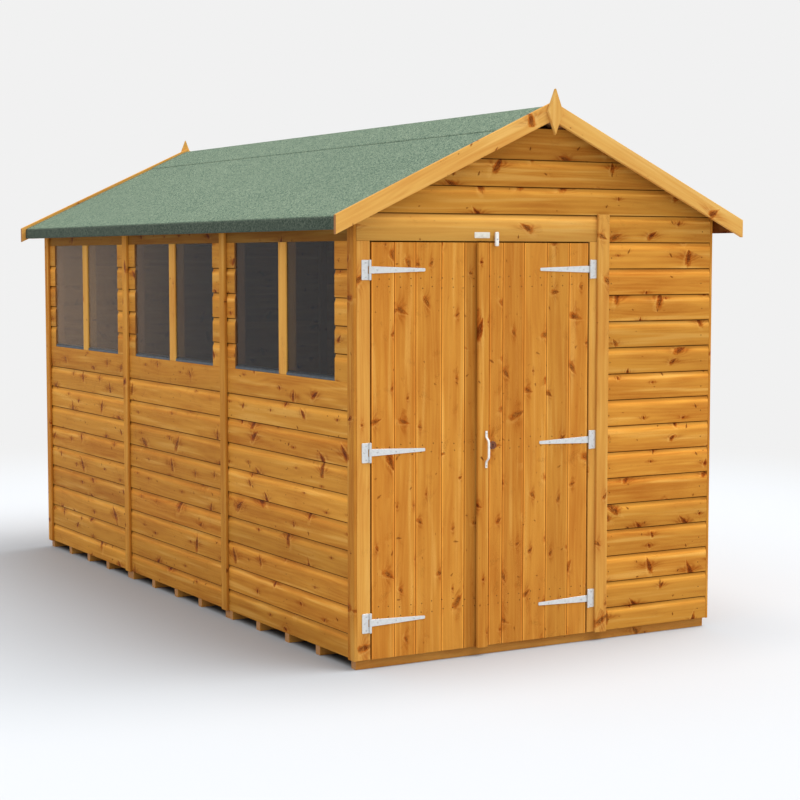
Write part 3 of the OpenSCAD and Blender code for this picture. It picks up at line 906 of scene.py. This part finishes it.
gable_boards("gable_front", "front_gable", -1)
gable_boards("gable_rear", "rear_gable", 1)
boards("header_board", ["door_header"], header_board, [TRIM, ENDS],
       "cladding")
for name, nodes, radius, wooden in (
        ("door_posts", ["door_post_left", "door_post_right"], 0.0012, TRIM),
        ("cover_strips_window_side", ["left_strips"], 0.003, BOARD),
        ("cover_strips_plain_side", ["right_strips"], 0.003, BOARD),
        ("cover_strips_ends", ["end_strips"], 0.003, TRIM),
        ("window_posts", ["window_mullions"], 0.005, TRIM)):
    planks(name, nodes, radius, [wooden, ENDS])
for side in ("left", "right"):
    planks("framing_" + side, [side + "_frame"], 0.002, *FRAMING)
for leaf in ("left_door", "right_door"):
    planks("ledges_" + leaf, [leaf + "_ledges"], 0.002, *FRAMING, leaf)
planks("bearers", ["floor_bearers"], 0.002, [ROUGH, SAWN], "bearers")
boards("floor", ["floor_boards"], floor_boards, [FLOOR, ENDS], "floor")
door("boards_left_door", "left_door", [0.103, 0.098, 0.119, 0.107, 0.077],
     shaded=[4])
door("boards_right_door", "right_door",
     [0.036, 0.065, 0.103, 0.112, 0.111, 0.097])
for name, node in (("roof_boards_window_side", "roof_left"),
                   ("roof_boards_plain_side", "roof_right")):
    boards(name, [node], roof_boards, [ROOF, ENDS], "roof_boards")
for end in ("front", "rear"):
    boards("framing_" + end, [end + "_frame"], gable_framing, *FRAMING)
dress("roof_battens", ALONG_Y)
for name, node in (("bargeboards_window_side", "left_bargeboards"),
                   ("bargeboards_plain_side", "right_bargeboards")):
    boards(name, [node], lambda timber, low, high:
           timber.slope(low, high, 0.0022), [PALE, ENDS], "trim")
boards("finials_both_ends", ["finials"], finial, [PALE], "trim")
boards("meeting_strip", ["overlap_strip"], overlap_strip, [DOOR, ENDS],
       "trim", "right_door")

# ------------------------------------------------------------------ felt

FELT_T = 0.003


def ripple(u, y, size):
    """Slow unevenness of a laid sheet: a sum of three sines."""
    return size * (np.sin(u * 9.1 + y * 2.3) + np.sin(y * 7.7 - u * 4.0)
                   + 0.6 * np.sin(y * 17.0 + u * 13.0)) / 2.6


def felt_side(name, node, s):
    """A sheet down the slope that turns over the eaves in a small bend and
    hangs level with the batten's lower edge. Outer and inner grids share
    the path (u, z); the outer one is raised by the thickness and ripple."""
    low, high = corners(node)
    eave = max(abs(low[0]), abs(high[0])) - FELT_T
    ridge = min(abs(low[0]), abs(high[0]))
    slope = math.tan(PITCH)
    lift = FELT_T / math.cos(PITCH)
    apex = high[2] + ridge * slope - lift
    bend = 0.009
    u = np.linspace(ridge, eave - bend, 18)
    z = apex - u * slope
    turn = np.linspace(0, math.pi / 2, 7)[1:]
    arc_u = u[-1] + bend * np.sin(turn)
    arc_z = z[-1] - bend * (slope * np.sin(turn) + 1 - np.cos(turn))
    hang = np.linspace(arc_z[-1], low[2], 6)[1:]
    path = np.stack([np.r_[u, arc_u, np.full(len(hang), eave)],
                     np.r_[z, arc_z, hang]], -1)
    step = np.gradient(path, axis=0)
    normal = np.stack([-step[:, 1], step[:, 0]], -1)
    normal /= np.linalg.norm(normal, axis=1)[:, None]
    y = np.linspace(low[1], high[1], 90)
    grow = FELT_T - 0.0003 + ripple(path[:, :1], y[None], 0.0003)
    outer2 = path[:, None] + normal[:, None] * grow[..., None]
    inner2 = np.repeat(path[:, None] + normal[:, None] * 0.0003, len(y), 1)

    def place(flat):
        grid = np.empty(flat.shape[:2] + (3,))
        grid[..., 0], grid[..., 1] = s * flat[..., 0], y
        grid[..., 2] = flat[..., 1]
        return grid

    points, faces = shell(place(outer2), place(inner2))
    # painted shade: 1 on the face turned down over the eaves, 0 on the slope
    drop = np.repeat(np.clip((path[:, 0] - eave + 0.007) / 0.006, 0, 1),
                     len(y))
    finish_piece(name, points, faces, "shed", [FELT], [node],
                 smooth=True, attributes={"drop": np.r_[drop, drop]})


def felt_cap(name, node):
    """The capping sheet over the ridge: both slopes in one path, rounded at
    the ridge, pressed thin towards its edges."""
    low, high = corners(node)
    half = high[0]
    slope = math.tan(PITCH)
    u = np.linspace(-half, half, 91)
    soft = np.sqrt(u * u + 0.006 ** 2) - 0.002
    under = high[2] - FELT_T / math.cos(PITCH) - soft * slope
    lip = -0.0028 * np.clip((np.abs(u) - half + 0.012) / 0.012, 0, 1)
    y = np.linspace(low[1], high[1], 90)
    wave = ripple(u[:, None], y[None], 0.0002)
    top = under[:, None] + FELT_T / math.cos(PITCH) + lip[:, None] + wave
    outer, inner = np.empty((2, len(u), len(y), 3))
    for grid, height in ((outer, top - 0.0007),
                         (inner, under[:, None] - 0.0006 + 0 * wave)):
        grid[..., 0], grid[..., 1] = u[:, None], y
        grid[..., 2] = height
    points, faces = shell(outer, inner)
    finish_piece(name, points, faces, "shed", [FELT], [node],
                 smooth=True, attributes={"drop": np.zeros(len(points))})


felt_side("felt_window_side", "felt_left", -1)
felt_side("felt_plain_side", "felt_right", 1)
felt_cap("felt_over_ridge", "ridge_felt")

# --------------------------------------------------------------- windows


def pane(timber, low, high):
    """A pane with eased edges, set forward in its rebate."""
    forward = X * 0.0125
    timber.plank(low - forward, high - forward, 0.0006, bevel=0.0006)


boards("panes", ["window_glass"], pane, [GLASS, GLASS], "glazing")
dress("window_sills", SILL)

# -------------------------------------------------------------- hardware

JOINTS = {joint["name"]: joint for joint in frame["joints"]}


def screw(x, y, z, size=0.0040, tall=0.0014):
    """Domed head facing -Y: height falls with the square of the radius, and
    a cross is sunk into it where |x| or |z| is small."""
    rings, around = 7, 24
    r = np.linspace(0.12, 1, rings)[::-1][:, None]
    turn = circle(around)[None]
    flat_x, flat_z = r * np.cos(turn), r * np.sin(turn)
    cross = (np.minimum(np.abs(flat_x), np.abs(flat_z)) < 0.14) & (r < 0.62)
    height = tall * (1 - 0.75 * r * r) - 0.0007 * cross
    skirt = np.stack([flat_x[0], flat_z[0], np.zeros(around)], -1)
    top = np.stack([flat_x, flat_z, height], -1).reshape(-1, 3)
    local = np.concatenate([skirt, top])
    points = np.stack([x + local[:, 0] * size, y - local[:, 2],
                       z + local[:, 1] * size], -1)
    return points, tube_faces(rings + 1, around)


def facing(points, x, y, z):
    """Turns points so that their height runs along -Y from (x, y, z)."""
    return np.stack([x + points[:, 0], y - points[:, 2], z + points[:, 1]],
                    -1)


def barrel(x, y, z0, z1, radius):
    """An upright knuckle with softened ends."""
    soft = 0.0008
    points, faces = lathe(
        [radius - soft, radius, radius, radius - soft],
        [z0, z0 + soft, z1 - soft, z1], 28)
    return points + (x, y, 0), faces


def strap_outline(s, reach, root, tip, start):
    """A strap that narrows from root to tip height and ends in a blunt
    point. s is the direction it runs in."""
    turn = np.linspace(-math.pi / 2, math.pi / 2, 7)
    nose = np.stack([reach - tip * 0.32 + tip * 0.32 * np.cos(turn),
                     tip / 2 * np.sin(turn)], -1)
    outline = np.concatenate([
        [(start, -root / 2), (start + 0.012, -root / 2)], nose,
        [(start + 0.012, root / 2), (start, root / 2)]])
    return outline * (s, 1)


def hinges():
    """Six tee hinges: a plate with two end knuckles on the building, and a
    tapered strap with the middle knuckle on the leaf."""
    fixed, heads = [], []
    for body, s in (("left_door", 1), ("right_door", -1)):
        node = body + "_straps"
        axis_x, axis_y, _ = JOINTS[body]["pos_m"]
        moving, screws = [], []
        for low, high in solids(node):
            z = (low[2] + high[2]) / 2
            root = high[2] - low[2]
            face = high[1]                      # the leaf's front
            reach = (high[0] - axis_x) if s > 0 else (axis_x - low[0])
            radius = face - axis_y - 0.0002
            points, faces = plate(
                strap_outline(s, reach, root, 0.0128, 0.0045), HINGE_T,
                HINGE_EDGE)
            moving.append((points + (axis_x, face, z), faces))
            moving.append(barrel(axis_x, axis_y, low[2], high[2], radius))
            for along in (0.034, 0.118, 0.200):
                screws.append(screw(axis_x + s * along, face - HINGE_T, z,
                                    0.0034 if along > 0.1 else 0.0040))
            for p_low, p_high in solids("hinge_plates"):
                apart = np.abs((p_low + p_high) / 2 - (axis_x, 0, z))
                if apart[0] > 0.04 or apart[2] > 0.01:
                    continue                    # another hinge's plate
                edge = p_low[0] if s > 0 else p_high[0]
                width = abs(edge - axis_x) - PLATE_GAP
                points, faces = plate(
                    centred(width, p_high[2] - p_low[2], 0.004, 5), HINGE_T,
                    HINGE_EDGE)
                middle = (edge + axis_x - s * PLATE_GAP) / 2
                fixed.append((points + (middle, face, z), faces))
                for z0, z1 in ((p_low[2], low[2] - 0.0005),
                               (high[2] + 0.0005, p_high[2])):
                    fixed.append(barrel(axis_x, axis_y, z0, z1, radius))
                    points, faces = plate(centred(0.0095, z1 - z0, 0.0006),
                                          0.0022, 0.0004)
                    fixed.append((points + (
                        axis_x - s * 0.0045, face, (z0 + z1) / 2), faces))
                fixed.append(barrel(axis_x, axis_y, p_low[2] - 0.0012,
                                    p_high[2] + 0.0012, 0.0028))
                for up in (-0.0275, 0.0, 0.0275):
                    heads.append(screw(
                        middle + s * (0.004 if up else -0.004),
                        face - HINGE_T, z + up, 0.0038))
        assemble("straps_" + body, moving, body, ZINC, [node])
        assemble("strap_screws_" + body, screws, body, SCREW)
    assemble("hinge_plates_all", fixed, "shed", ZINC, ["hinge_plates"])
    assemble("plate_screws", heads, "shed", SCREW)


hinges()


def handle():
    """A bow handle: a flat bar carried along a smoothed line (y, z) from
    one foot, out to the grip and back to the other foot."""
    low, high = corners("door_handle")
    x, _, z = (low + high) / 2
    face, half, thick = high[1], (high[2] - low[2]) / 2, 0.0048
    rim, grip = thick / 2, half - 0.041
    line = np.array([
        (face - rim, half), (face - rim, half - 0.020),
        (face - rim - 0.002, half - 0.027),
        (low[1] + rim + 0.004, grip + 0.004),
        (low[1] + rim, grip - 0.004), (low[1] + rim, 0)])
    line = np.concatenate([line, line[-2::-1] * (1, -1)])
    line = smooth_line(line) + (0, z)
    bar = sweep_flat(line, (high[0] - low[0]) / 2, rim, x)
    assemble("bow_handle", [bar], "right_door", WHITE, ["door_handle"],
             True)
    knobs = [screw(x, face - thick, z + k * (half - 0.009), 0.0034)
             for k in (-1, 1)]
    assemble("handle_screws", knobs, "right_door", SCREW)


handle()


def escutcheon():
    """The keyhole plate keeps its real hole; a raised rim goes round it, and
    a dark disc behind the hole is painted shade for its depth."""
    dress("key_escutcheon", BROWN)
    low, high = corners("key_escutcheon")
    x, _, z = (low + high) / 2
    radius = (high[0] - low[0]) / 2
    turn = circle(12)
    ring = np.stack([radius - 0.0022 + 0.0020 * np.cos(turn),
                     0.0024 + 0.0016 * np.sin(turn)], -1)
    spin = circle(48)
    grid = np.stack([
        x + ring[None, :, 0] * np.cos(spin)[:, None],
        high[1] - ring[None, :, 1] + 0 * spin[:, None],
        z + ring[None, :, 0] * np.sin(spin)[:, None]], -1)
    i, k = np.meshgrid(np.arange(len(spin)), np.arange(len(turn)),
                       indexing="ij")
    here, ahead = (r % len(spin) * len(turn) for r in (i, i + 1))
    beside = (k + 1) % len(turn)
    faces = np.stack([here + k, here + beside, ahead + beside, ahead + k],
                     -1).reshape(-1, 4).tolist()
    assemble("escutcheon_rim", [(grid.reshape(-1, 3), faces)], "right_door",
             BROWN, smooth=True)
    # painted shade behind the keyhole
    points, faces = lathe([0.0095, 0.0095], [0.0, 0.0003])
    disc = facing(points, x, high[1], z - 0.001)
    assemble("keyhole_depth", [(disc, faces)], "right_door", DARK)


escutcheon()


def button_and_tag():
    """The turn button is a rounded block on a boss with one screw, and the
    tag a thin blank plate with a raised border and two pins."""
    low, high = corners("turn_button")
    px, _, pz = JOINTS["turn_button"]["pos_m"]
    timber = Timber()
    timber.plank(low, (high[0], low[1] + 0.010, high[2]), 0.0030,
                 bevel=0.0028)
    timber.build("turn_button_block", "turn_button", [WHITE, WHITE],
                 ["turn_button"])
    points, faces = lathe([0.0056, 0.0056], [0, 0.0062])
    boss = facing(points, px, FRONT - 0.0003, pz)
    head = screw(px, low[1], pz, 0.0042)
    assemble("turn_button_screw", [(boss, faces), head], "turn_button",
             SCREW)
    low, high = corners("blank_plate")
    width, _, tall = high - low
    x, _, z = (low + high) / 2
    centre, border = (x, high[1], z), 0.006
    base = plate(centred(width, tall, 0.003, 5), 0.0011, 0.0003)
    panel = plate(centred(width - border, tall - border, 0.002, 5),
                  0.0015, 0.0003)
    assemble("blank_tag_plate",
             [(points + centre, faces) for points, faces in (base, panel)],
             "shed", TAG, ["blank_plate"])
    pins = [screw(x + k * (width / 2 - border), high[1] - 0.0015, z,
                  0.0014, 0.0006) for k in (-1, 1)]
    assemble("tag_pins", pins, "shed", SCREW)


button_and_tag()

# ------------------------------------------------------------------ nails


def nails(name, body, spots, normal):
    """Small domed nail heads at the spots, facing along normal."""
    size, proud, around = 0.0024, 0.0004, 8
    u = np.roll(normal, 1)
    w = np.cross(normal, u)
    turn = circle(around)
    ring = np.cos(turn)[:, None] * u + np.sin(turn)[:, None] * w
    local = np.concatenate([
        ring * size - normal * 0.0008, ring * size + normal * 0.0001,
        ring * size * 0.55 + normal * proud])
    verts = (spots[:, None] + local[None]).reshape(-1, 3)
    base = tube_faces(3, around, np.dot(np.cross(u, w), normal) < 0)
    faces = [[v + len(local) * n for v in f] for n in range(len(spots))
             for f in base]
    finish_piece(name, verts, faces, body, [NAIL])


def nail_spots(first, second, jitter, seed):
    """Every pairing of two lists of places, each moved a little."""
    random = np.random.default_rng(seed)
    a, b = np.meshgrid(first, second, indexing="ij")
    a = a + random.uniform(-jitter, jitter, a.shape)
    b = b + random.uniform(-jitter, jitter, b.shape)
    return a.ravel(), b.ravel()


def door_nails(body, seed):
    """Two rows of nails at each ledge, ten to a row, across the leaf."""
    low, high = corners(body + "_boards")
    lines = []
    for l_low, l_high in solids(body + "_ledges"):
        mid = (l_low[2] + l_high[2]) / 2
        lines += [mid - 0.018, mid + 0.018]
    xs = np.linspace(low[0] + 0.030, high[0] - 0.030, 10)
    a, b = nail_spots(xs, lines, 0.006, seed)
    spots = np.stack([a, np.full(a.size, low[1]), b], -1)
    nails("nails_" + body, body, spots, -Y)


def cladding_nails(wall, seed):
    """Two nails in each board at each panel's ends and middle."""
    nodes, axis, sign = WALLS[wall]
    side = 1 - axis
    rows = ROW_EDGES[:-1] + 0.045
    rows = rows[rows < WALL_TOP]
    spots = []
    for node in nodes:
        for low, high in solids(node):
            if high[2] - low[2] < RAIL:
                continue
            here = rows[(rows > low[2]) & (rows < high[2])]
            ends = [low[side] + 0.045, high[side] - 0.045]
            if high[side] - low[side] > 0.6:
                ends.append((low[side] + high[side]) / 2)
            a, b = nail_spots(ends, here, 0.004, seed)
            group = np.empty((a.size, 3))
            group[:, axis] = (high if sign > 0 else low)[axis]
            group[:, side], group[:, 2] = a, b
            spots.append(group)
    nails("nails_" + wall, "shed", np.concatenate(spots),
          np.eye(3)[axis] * sign)


door_nails("left_door", 11)
door_nails("right_door", 13)
for wall, seed in (("plain_side", 3), ("window_side", 5), ("rear", 7),
                   ("front", 9)):
    cladding_nails(wall, seed)

# ------------------------------------------------- studio, lights, camera


def studio():
    """A wide pale floor, soft light from the sky, and a key from the front
    right. The floor's far part fades to the backdrop's tone; painted shadow
    greys it round the building and on its window side, and painted shade
    makes it dark under the building."""
    tone = 0.88
    floor = bpy.data.meshes.new("studio_floor")
    far = 60.0
    floor.from_pydata([(-far, -far, 0), (far, -far, 0), (far, far, 0),
                       (-far, far, 0)], [], [(0, 1, 2, 3)])
    net = Net("studio_floor")
    x, y, _ = net.split(net.place())
    away = (x * x + y * y) ** 0.5
    wide, long = (x * x) ** 0.5 - HALF, (y * y) ** 0.5 - REAR
    # painted shade on the floor: near round the building, under beneath it, and a painted shadow
    # in the lee on the window side
    near = net.step(wide, 0.8, -0.1) * net.step(long, 0.8, -0.1)
    under = net.step(wide, 0.0, -0.06) * net.step(long, 0.0, -0.06)
    lee_shadow = (net.step(x, -3.4, -1.4) * net.step(x, HALF, -HALF)
           * net.step(y, FRONT - 0.5, FRONT + 0.5)
           * net.step(y, REAR + 1.6, REAR - 0.6))
    painted_floor_shade = 1 - (1 - near * 0.55) * (1 - lee_shadow * 0.38)
    ground = net.mix(painted_floor_shade, (0.600, 0.628, 0.662, 1),
                     (0.420, 0.450, 0.485, 1))
    # painted shade, almost black, under the building
    ground = net.mix(under, ground, (0.07, 0.07, 0.07, 1))
    net.set(Base_Color=ground, Roughness=0.9)
    glow = net.node("ShaderNodeEmission", None,
                    {"Color": (tone, tone, tone, 1), "Strength": 1.0})
    both = net.node("ShaderNodeMixShader", None,
                    {0: net.step(away, 3.0, 7.4)})
    out = net.tree.nodes["Material Output"]
    net.tree.links.new(net.shader.outputs[0], both.inputs[1])
    net.tree.links.new(glow.outputs[0], both.inputs[2])
    net.tree.links.new(both.outputs[0], out.inputs[0])
    floor.materials.append(net.material)
    link("studio_floor", floor)

    world = bpy.data.worlds.new("studio_sky")
    bpy.context.scene.world = world
    world.use_nodes = True
    back = world.node_tree.nodes["Background"]
    back.inputs["Color"].default_value = (tone, tone, tone, 1)
    back.inputs["Strength"].default_value = 1.0


def lamp(name, toward, angle, power, tint=(1, 1, 1)):
    """A far, wide, soft light that shines from the direction toward, and
    looks angle degrees wide from the shed."""
    data = bpy.data.lights.new(name, "SUN")
    data.energy, data.angle, data.color = power, math.radians(angle), tint
    x, y, z = toward
    link(name, data).rotation_euler = (
        math.atan2(math.hypot(x, y), z), 0, math.atan2(y, x) + math.pi / 2)


studio()
lamp("key_light", (0.44, -0.22, 0.87), 54, 2.55, (1, 0.988, 0.968))
lamp("side_light", (-0.62, -0.15, 0.77), 50, 0.12)

camera = bpy.data.cameras.new("camera")
camera.lens, camera.sensor_width = 81.60, 36.0
camera.clip_end = 200
viewer = link("camera", camera)
viewer.location = (-4.2318, -7.952, 1.6142)
viewer.rotation_euler = (math.radians(85.538), 0, math.radians(-30.0))
bpy.context.scene.camera = viewer
bpy.context.scene.view_settings.view_transform = "Standard"
